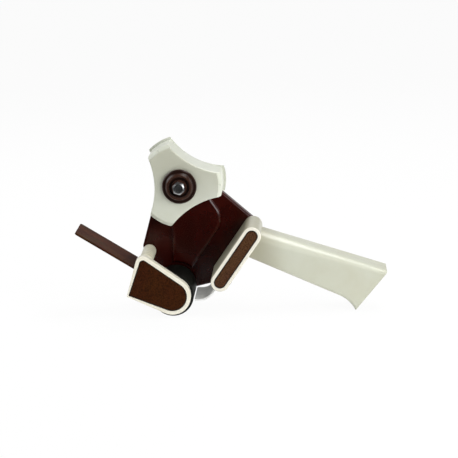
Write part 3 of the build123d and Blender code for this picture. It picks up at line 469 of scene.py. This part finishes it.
def platedSteel(name, light, dark, rough, lay=evenLay, metal=1.0):
    grain = {
        "brushed": dict(scale=420, detail=6, roughness=0.7),
        "brushedDulls": 0.14,
        "stain": dict(scale=110, detail=5, roughness=0.65),
        "darkFrom": 0.35,
        "darkTo": 0.75,
        "dullFrom": 0.5,
        "dullTo": 0.8,
        "dullMost": 0.1,
        "relief": dict(depth=0.02 * mm, strength=0.35),
    }
    paint = Paint(name)
    brushed = paint.noise(vector=paint.stretched(lay), **grain["brushed"])
    stain = paint.noise(**grain["stain"])
    dull = paint.span(stain, grain["dullFrom"], grain["dullTo"], 0.0, grain["dullMost"])
    return paint.finish({
        "Base Color": paint.mixed(paint.span(stain, grain["darkFrom"], grain["darkTo"]), light, dark),
        "Roughness": rough + brushed * grain["brushedDulls"] + dull,
        "Metallic": metal,
        "Normal": paint.bump(brushed, **grain["relief"]),
    })


# plain mouldings
plains = {
    # dark border of the inlaid panels: painted shade in the gap round them
    "shadedBorder": {"deep": srgb(24, 14, 6), "light": srgb(34, 20, 9), "rough": 0.55},
    "coreMoulding": {"deep": srgb(26, 26, 26), "light": srgb(40, 40, 40), "rough": 0.5},
}


def plainMoulding(name, deep, light, rough):
    grain = {
        "mottle": dict(scale=90, detail=4, roughness=0.6, begin=0.3, end=0.7),
        "haze": dict(base=rough, scale=200, detail=4, roughness=0.7, depth=0.15),
        "skin": dict(scale=1200, detail=2, roughness=0.6, depth=0.03 * mm, strength=0.5),
    }
    paint = Paint(name)
    return paint.finish({
        "Base Color": paint.mixed(paint.patches(**grain["mottle"]), deep, light),
        "Roughness": paint.haze(**grain["haze"]),
        "Normal": paint.skin(**grain["skin"]),
    })


def pressedFibre():
    look = {
        "deep": srgb(84, 56, 34),
        "light": srgb(150, 112, 74),
        "threads": dict(scale=700, detail=8, roughness=0.8),
        "relief": dict(depth=0.2 * mm, strength=0.7),
        "rough": 0.85,
    }
    paint = Paint("pressedFibre")
    threads = paint.noise(**look["threads"])
    return paint.finish({
        "Base Color": paint.mixed(threads, look["deep"], look["light"]),
        "Roughness": look["rough"],
        "Normal": paint.bump(threads, **look["relief"]),
    })


materials = [handleMoulding(), platePaint(), knobMoulding(), flapMoulding(), rollerRubber(), pressedFibre()]
materials += [ivoryMoulding(name, **look) for name, look in ivories.items()]
materials += [pebbledPanel(name, **look) for name, look in pebbleBrowns.items()]
materials += [platedSteel(name, **look) for name, look in metals.items()]
materials += [plainMoulding(name, **look) for name, look in plains.items()]
finishes = {material.name: material for material in materials}
wearing = {  # zinc plate is on the rest
    "hubMoulding": ["tape_hub"],
    "guideMoulding": ["guide_roller"],
    "coverMoulding": ["roller_cover"],
    "handleMoulding": ["handle_near_shell", "handle_far_shell"],
    "platePaint": ["side_plate"],
    "knobMoulding": ["tension_knob"],
    "flapMoulding": ["flap"],
    "coverPebble": ["cover_inlay"],
    "stripPebble": ["block_inlay"],
    "rollerRubber": ["roller_tyre"],
    "coreMoulding": ["roller_core"],
    "pressedFibre": ["brake_disc"],
    "plainBronze": ["roller_bushes"],
    "brightPlate": ["guide_plate"],
    "bladeSteel": ["blade"],
    "springSteel": ["guide_axle_clips", "flap_pin_clips"],
}
finishOf = {node: finish for finish, names in wearing.items() for node in names}
for name, node in nodes.items():
    node.data.materials.clear()
    node.data.materials.append(finishes[finishOf.get(name, "zincSteel")])
print("finishes on", len(nodes), "nodes")


# new pieces
weld = {"piece": 0.005 * mm, "node": 0.01 * mm, "rim": 0.02 * mm}  # points this close are as one


def addPiece(name, shape, wear, replaced, body=None):
    bmesh.ops.remove_doubles(shape, verts=shape.verts, dist=weld["piece"])
    bmesh.ops.recalc_face_normals(shape, faces=shape.faces)
    mesh = bpy.data.meshes.new(name)
    shape.to_mesh(mesh)
    shape.free()
    for finish in wear:
        mesh.materials.append(finishes[finish])
    piece = bpy.data.objects.new(name, mesh)
    bpy.context.scene.collection.objects.link(piece)
    mesh.shade_smooth()
    if body:
        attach(piece, body)
    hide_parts(replaced)
    return piece


def creased(piece, degrees):
    crease = piece.modifiers.new("crease", "EDGE_SPLIT")
    crease.split_angle = math.radians(degrees)


# each edge or point once, in a steady order
def edgesOf(verts):
    return list(dict.fromkeys(edge for vert in verts for edge in vert.link_edges))


def vertsOf(edges):
    return list(dict.fromkeys(vert for edge in edges for vert in edge.verts))


def ringAt(shape, radius, sides, matrix):
    made = bmesh.ops.create_circle(shape, radius=radius, segments=sides, matrix=matrix)
    return edgesOf(made["verts"])


def pulled(shape, edges, move):
    made = bmesh.ops.extrude_edge_only(shape, edges=edges)["geom"]
    verts = [item for item in made if isinstance(item, bmesh.types.BMVert)]
    bmesh.ops.translate(shape, verts=verts, vec=move)
    sides = [item for item in made if isinstance(item, bmesh.types.BMEdge)]
    return [edge for edge in sides if all(vert in verts for vert in edge.verts)]


def pointed(heading):
    return Vector((0, 0, 1)).rotation_difference(heading).to_matrix().to_4x4()


# copy of a node's mesh with its triangles joined up
def nodeShape(name):
    shape = bmesh.new()
    shape.from_mesh(nodes[name].data)
    bmesh.ops.remove_doubles(shape, verts=shape.verts, dist=weld["node"])
    return shape


# coil about an axis across the tape, wound clockwise and away from the viewer
def coilShape(setup):
    centre = Vector(setup["centre"])
    radius = setup["radius"]
    climb = setup["pitch"] / (2 * math.pi * radius)
    first = setup["startAngle"]
    last = first - setup["turns"] * 2 * math.pi
    start = centre + Vector((radius * math.cos(first), setup["startDepth"], radius * math.sin(first)))
    heading = Vector((math.sin(first), climb, -math.cos(first))).normalized()
    leaving = Vector((math.sin(last), climb, -math.cos(last))).normalized()
    shape = bmesh.new()
    legStart = Matrix.Translation(start - heading * setup["legIn"]) @ pointed(heading)
    edges = ringAt(shape, setup["wire"], setup["sides"], legStart)
    bmesh.ops.contextual_create(shape, geom=edges)
    if setup["legIn"]:
        edges = pulled(shape, edges, heading * setup["legIn"])
    made = bmesh.ops.spin(
        shape,
        geom=edges + vertsOf(edges),
        cent=centre,
        axis=(0, 1, 0),
        dvec=(0, setup["pitch"] / setup["stepsPerTurn"], 0),
        angle=setup["turns"] * 2 * math.pi,
        steps=round(setup["turns"] * setup["stepsPerTurn"]),
        use_duplicate=False,
    )
    edges = [item for item in made["geom_last"] if isinstance(item, bmesh.types.BMEdge)]
    if setup["legOut"]:
        edges = pulled(shape, edges, leaving * setup["legOut"])
    bmesh.ops.contextual_create(shape, geom=edges)
    return shape


wound = {"stepsPerTurn": 48, "sides": 12}
springLow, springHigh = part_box("brake_spring")
brakeCoil = {
    "centre": hubAxis,
    "wire": 0.6 * mm,
    "turns": 4,
    "startAngle": 0.0,
    "legIn": 0,
    "legOut": 0,
    **wound,
}
brakeCoil["radius"] = (springHigh.x - springLow.x) / 2 - brakeCoil["wire"]
brakeCoil["pitch"] = (springHigh.y - springLow.y - 2 * brakeCoil["wire"]) / brakeCoil["turns"]
brakeCoil["startDepth"] = springLow.y + brakeCoil["wire"]
brakeSpring = addPiece("brakeSpring", coilShape(brakeCoil), ["springSteel"], "brake_spring")
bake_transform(brakeSpring)

flapRise = math.radians(32.6)  # of the flap to the front, at rest
bladeLean = math.radians(11.9)  # of the blade backwards from upright
flapCoil = {
    "centre": flapAxis,
    "radius": 4.0 * mm,
    "wire": 0.5 * mm,
    "turns": 4 + (math.pi / 2 - flapRise + bladeLean) / (2 * math.pi),
    "pitch": 1.5 * mm,
    "startAngle": math.pi / 2 - flapRise,
    "legIn": 11.2 * mm,
    "legOut": 8.8 * mm,
    **wound,
}
flapCoil["startDepth"] = -flapCoil["pitch"] * flapCoil["turns"] / 2
flapSpring = addPiece("flapSpring", coilShape(flapCoil), ["springSteel"], "flap_spring")
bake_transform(flapSpring)
print("springs wound")


# middle of the outermost face of each loose solid in a node, along the heading
def headTops(name, heading):
    shape = nodeShape(name)
    seen = set()
    tops = []
    for first in shape.verts:
        if first in seen:
            continue
        seen.add(first)
        solid = [first]
        for vert in solid:
            beside = [edge.other_vert(vert) for edge in vert.link_edges]
            fresh = [other for other in beside if other not in seen]
            seen.update(fresh)
            solid.extend(fresh)
        reach = max(vert.co.dot(heading) for vert in solid)
        ring = [vert.co for vert in solid if vert.co.dot(heading) > reach - weld["rim"]]
        tops.append(sum(ring, Vector()) / len(ring))
    shape.free()
    return tops


# screw with a cross recess, drawn with the top of its head at zero and its shank downwards
def crossScrew(shape, setup, place, heading):
    before = set(shape.verts)
    radius = setup["head"]
    height = setup["height"]
    rims = [(setup["shank"], -height)]
    rims += [(radius * share, height * level) for share, level in setup["profile"]]
    loops = [ringAt(shape, rim, setup["sides"], Matrix.Translation((0, 0, level))) for rim, level in rims]
    for lower, upper in zip(loops, loops[1:]):
        bmesh.ops.bridge_loops(shape, edges=lower + upper)
    arm = radius * setup["arm"]
    half = radius * setup["slot"]
    outline = [(arm, half), (half, half), (half, arm), (-half, arm), (-half, half), (-arm, half)]
    outline += [(-x, -y) for x, y in outline]
    corners = [shape.verts.new((x, y, 0)) for x, y in outline]
    cross = [shape.edges.new((corners[count - 1], corners[count])) for count in range(len(corners))]
    bmesh.ops.bridge_loops(shape, edges=loops[-1] + cross)
    floor = pulled(shape, cross, Vector((0, 0, -setup["recess"])))
    bmesh.ops.scale(shape, vec=(setup["taper"], setup["taper"], 1), verts=vertsOf(floor))
    bmesh.ops.contextual_create(shape, geom=floor)
    tip = pulled(shape, loops[0], Vector((0, 0, -setup["length"])))
    bmesh.ops.contextual_create(shape, geom=tip)
    fresh = [vert for vert in shape.verts if vert not in before]
    bmesh.ops.transform(shape, matrix=Matrix.Translation(place) @ pointed(heading), verts=fresh)


# with two headings, each screw is turned to its own side
def screwGroup(name, setup, node, *headings):
    shape = bmesh.new()
    for heading in headings:
        for top in headTops(node, heading):
            if len(headings) == 1 or top.dot(heading) > 0:
                crossScrew(shape, setup, top, heading)
    creased(addPiece(name, shape, ["zincSteel"], node, "frame"), setup["crease"])


# rims of a head, as shares of its radius and height
roundTop = [(1.0, -1.0), (1.0, -0.65), (0.96, -0.45), (0.84, -0.2), (0.62, 0.0)]
levelTop = [(1.0, 0.0), (0.62, 0.0)]
panHead = {
    "head": 3.4 * mm,
    "height": 2.2 * mm,
    "shank": 2.0 * mm,
    "length": 12 * mm,
    "recess": 1.2 * mm,
    "profile": roundTop,
    "sides": 24,
    "arm": 0.5,
    "slot": 0.13,
    "taper": 0.6,
    "crease": 35,
}
longPan = {**panHead, "length": 40 * mm}
slimHead = {**panHead, "shank": 1.5 * mm, "length": 18 * mm}
lowHead = {**slimHead, "head": 3.0 * mm, "height": 1.5 * mm, "recess": 0.9 * mm, "length": 8 * mm}
flatHead = {**lowHead, "length": 4 * mm, "profile": levelTop}
away = Vector((0, 1, 0))
toward = Vector((0, -1, 0))
bladeOut = Vector((-math.cos(bladeLean), 0, math.sin(bladeLean)))
strip = {"recess": 11.0 * mm, "gap": 0.15 * mm}  # width of the slot for the block's inlay, and its play
stripWidth = strip["recess"] - 2 * strip["gap"]
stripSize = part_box("block_inlay")[1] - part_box("block_inlay")[0]
stripRun = Vector((stripSize.x - stripWidth, 0, stripSize.z - stripWidth)).normalized()
blockOut = Vector((stripRun.z, 0, -stripRun.x))
screwGroup("barScrews", panHead, "bar_screws", away, toward)
screwGroup("blockScrews", longPan, "block_screws", away)
screwGroup("handleScrews", slimHead, "handle_screws", away)
screwGroup("bladeScrews", lowHead, "blade_screws", bladeOut)
screwGroup("guideScrews", lowHead, "guide_plate_screws", blockOut)
screwGroup("coverScrews", flatHead, "cover_screws", away)
print("screws cut")


# inlaid panel: a pebbled field raised inside a narrow sunk border, the border painted dark as shade
def inlaidPanel(name, node, setup, finish):
    shape = nodeShape(node)
    flat = math.radians(setup["flatWithin"])
    bmesh.ops.dissolve_limit(shape, angle_limit=flat, verts=shape.verts, edges=shape.edges)
    field = min(shape.faces, key=lambda face: face.calc_center_median().y)
    for face in shape.faces:
        face.material_index = 1
    bmesh.ops.translate(shape, verts=field.verts, vec=(0, setup["sink"], 0))
    bmesh.ops.inset_region(shape, faces=[field], thickness=setup["border"], use_even_offset=True)
    slope = {"thickness": setup["slope"], "depth": setup["sink"], "use_even_offset": True}
    bmesh.ops.inset_region(shape, faces=[field], **slope)
    field.material_index = 0
    piece = addPiece(name, shape, [finish, "shadedBorder"], node, "frame")
    creased(piece, setup["crease"])


sunkBorder = {"border": 0.55 * mm, "slope": 0.35 * mm, "sink": 0.4 * mm, "flatWithin": 1, "crease": 30}
inlaidPanel("coverPanel", "cover_inlay", sunkBorder, "coverPebble")
inlaidPanel("blockPanel", "block_inlay", sunkBorder, "stripPebble")
print("panels inlaid")


# floor, light and camera
white = (1, 1, 1, 1)


def stageFloor():
    setup = {
        "half": 40.0,
        "paper": srgb(244, 244, 244),
        "shade": 0.05,  # how much of the shadow shows
        "brightFrom": -0.16,  # mirrored floor brightens from the front to the back
        "brightTo": -0.04,
        "frontGlow": 0.01,
    }
    shape = bmesh.new()
    bmesh.ops.create_grid(shape, x_segments=1, y_segments=1, size=setup["half"])
    mesh = bpy.data.meshes.new("floor")
    shape.to_mesh(mesh)
    shape.free()
    floor = bpy.data.objects.new("floor", mesh)
    bpy.context.scene.collection.objects.link(floor)
    paint = Paint("floorPaper")
    camera, glossy, clear = paint.rays()
    paper = paint.node("ShaderNodeBsdfDiffuse", {}, {"Color": setup["paper"]})
    behind = paint.span(paint.axes()[1], setup["brightFrom"], setup["brightTo"], setup["frontGlow"], 1.0)
    glow = camera + (1 - camera) * behind
    lit = paint.node("ShaderNodeEmission", {}, {"Color": white, "Strength": glow})
    seen = (camera * (1 - setup["shade"]) + glossy + clear).atMost(1.0)
    mesh.materials.append(paint.close(paint.node("ShaderNodeMixShader", {}, {0: seen, 1: paper, 2: lit})))


def studioAir():
    setup = {"fill": 0.28, "front": 0.025, "back": 0.4, "turnFrom": -0.6, "turnTo": 0.9}
    paint = Paint("studioAir", "worlds")
    camera, glossy, clear = paint.rays()
    heading = paint.axes(paint.node("ShaderNodeTexCoord", out="Generated"))[1]
    backdrop = paint.span(heading, setup["turnFrom"], setup["turnTo"], setup["front"], setup["back"])
    mirrored = (glossy + clear).atMost(1.0)
    strength = camera + (1 - camera) * (mirrored * backdrop + (1 - mirrored) * setup["fill"])
    air = paint.node("ShaderNodeBackground", {}, {"Color": white, "Strength": strength})
    bpy.context.scene.world = paint.close(air)


lampAim = Vector((0, 0, 80 * mm))  # middle of the dispenser
lamps = {
    "topBox": {"width": 0.9, "height": 0.4, "watts": 7.0, "place": (0.35, 0.1, 1.1)},
    "leftBox": {"width": 0.6, "height": 0.8, "watts": 5.0, "place": (-1.0, -0.2, 0.75)},
    "keyBox": {"width": 1.1, "height": 0.5, "watts": 9.5, "place": (0.88, -0.75, 0.42)},
    "backBox": {"width": 0.8, "height": 0.5, "watts": 4.5, "place": (-0.2, 1.0, 0.9)},
}


def softBox(name, setup):
    lamp = bpy.data.lights.new(name, "AREA")
    lamp.shape = "RECTANGLE"
    lamp.size = setup["width"]
    lamp.size_y = setup["height"]
    lamp.energy = setup["watts"]
    holder = bpy.data.objects.new(name, lamp)
    holder.location = setup["place"]
    holder.rotation_mode = "QUATERNION"
    holder.rotation_quaternion = (lampAim - Vector(setup["place"])).to_track_quat("-Z", "Y")
    bpy.context.scene.collection.objects.link(holder)


def photoCamera():
    setup = {
        "target": (-1.86 * mm, 0, 73.66 * mm),
        "azimuth": 2.6,
        "elevation": 11.05,
        "roll": 1.9,
        "distance": 1.8042,
        "focalPixels": 2000,
        "framePixels": 458,
        "sensor": 36.0,
        "clipStart": 0.05,
        "clipEnd": 200,
    }
    azimuth, elevation, roll = (math.radians(setup[name]) for name in ("azimuth", "elevation", "roll"))
    level = Vector((math.cos(azimuth), math.sin(azimuth), 0))
    flat = Vector((-math.sin(azimuth), math.cos(azimuth), 0))
    forward = flat * math.cos(elevation) - Vector((0, 0, math.sin(elevation)))
    upright = level.cross(forward)
    right = level * math.cos(roll) - upright * math.sin(roll)
    up = level * math.sin(roll) + upright * math.cos(roll)
    data = bpy.data.cameras.new("photoCamera")
    data.sensor_width = setup["sensor"]
    data.lens = setup["focalPixels"] / setup["framePixels"] * setup["sensor"]
    data.clip_start = setup["clipStart"]
    data.clip_end = setup["clipEnd"]
    camera = bpy.data.objects.new("photoCamera", data)
    matrix = Matrix((right, up, -forward)).transposed().to_4x4()
    matrix.translation = Vector(setup["target"]) - forward * setup["distance"]
    camera.matrix_world = matrix
    bpy.context.scene.collection.objects.link(camera)
    bpy.context.scene.camera = camera


stageFloor()
studioAir()
for name, setup in lamps.items():
    softBox(name, setup)
photoCamera()
bpy.context.scene.view_settings.view_transform = "Standard"
print("camera and light set")
